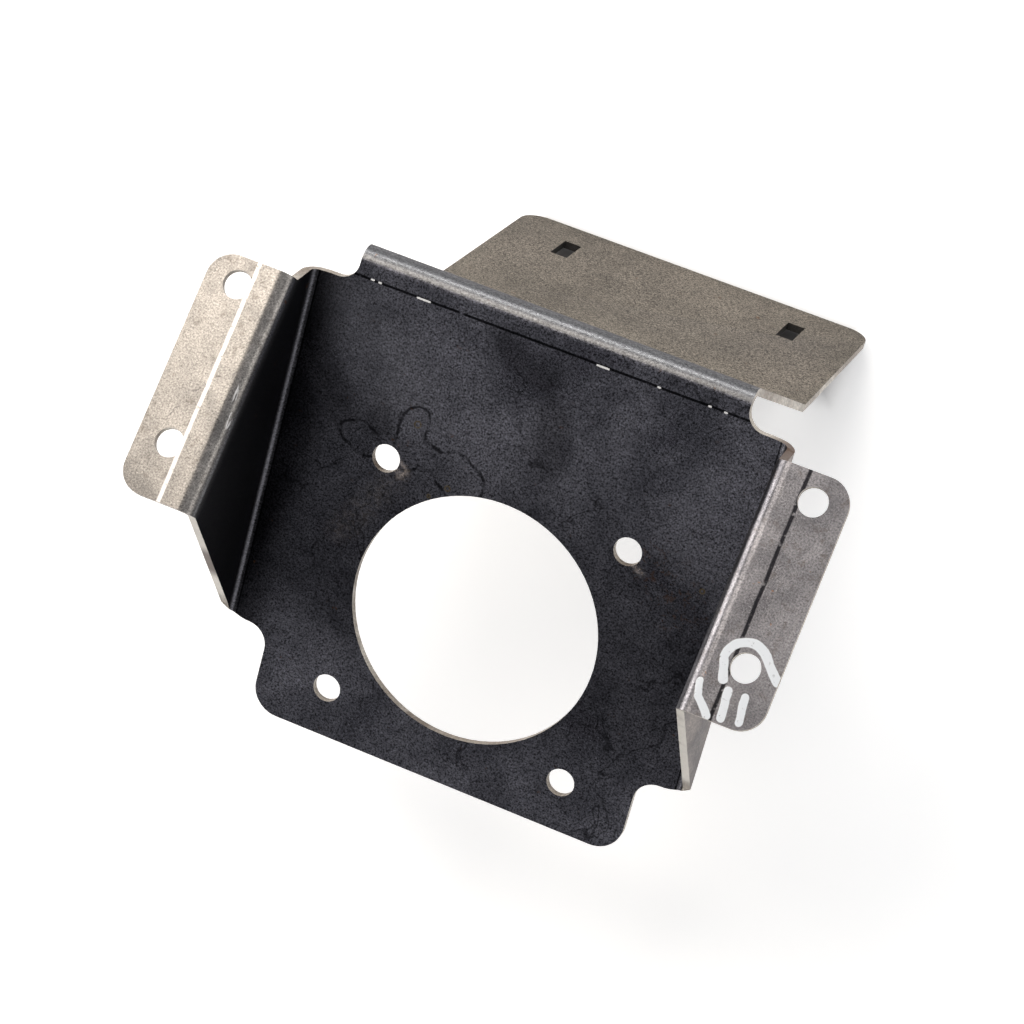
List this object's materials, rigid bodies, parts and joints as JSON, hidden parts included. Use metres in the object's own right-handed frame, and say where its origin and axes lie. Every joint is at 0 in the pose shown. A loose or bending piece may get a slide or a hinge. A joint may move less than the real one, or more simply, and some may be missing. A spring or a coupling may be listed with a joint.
{
  "type": "fire extinguisher bracket",
  "caption": "Folded sheet steel bracket: a leaning plate with a large round hole, wedge-shaped side walls with bolt-on flanges, and a bent ear with two strap slots.",
  "frame": {"origin": "midway between the four mounting holes, on the mounting face of the flanges", "axes": "+Z out of the mounting face, +Y towards the end that carries the ear, X across the bracket"},
  "size_m": [0.205, 0.1954, 0.1671],
  "materials": {
    "steel": "bare mild steel with dark mill scale"
  },
  "bodies": {
    "root": {"bracket": "steel"}
  },
  "joints": []
}
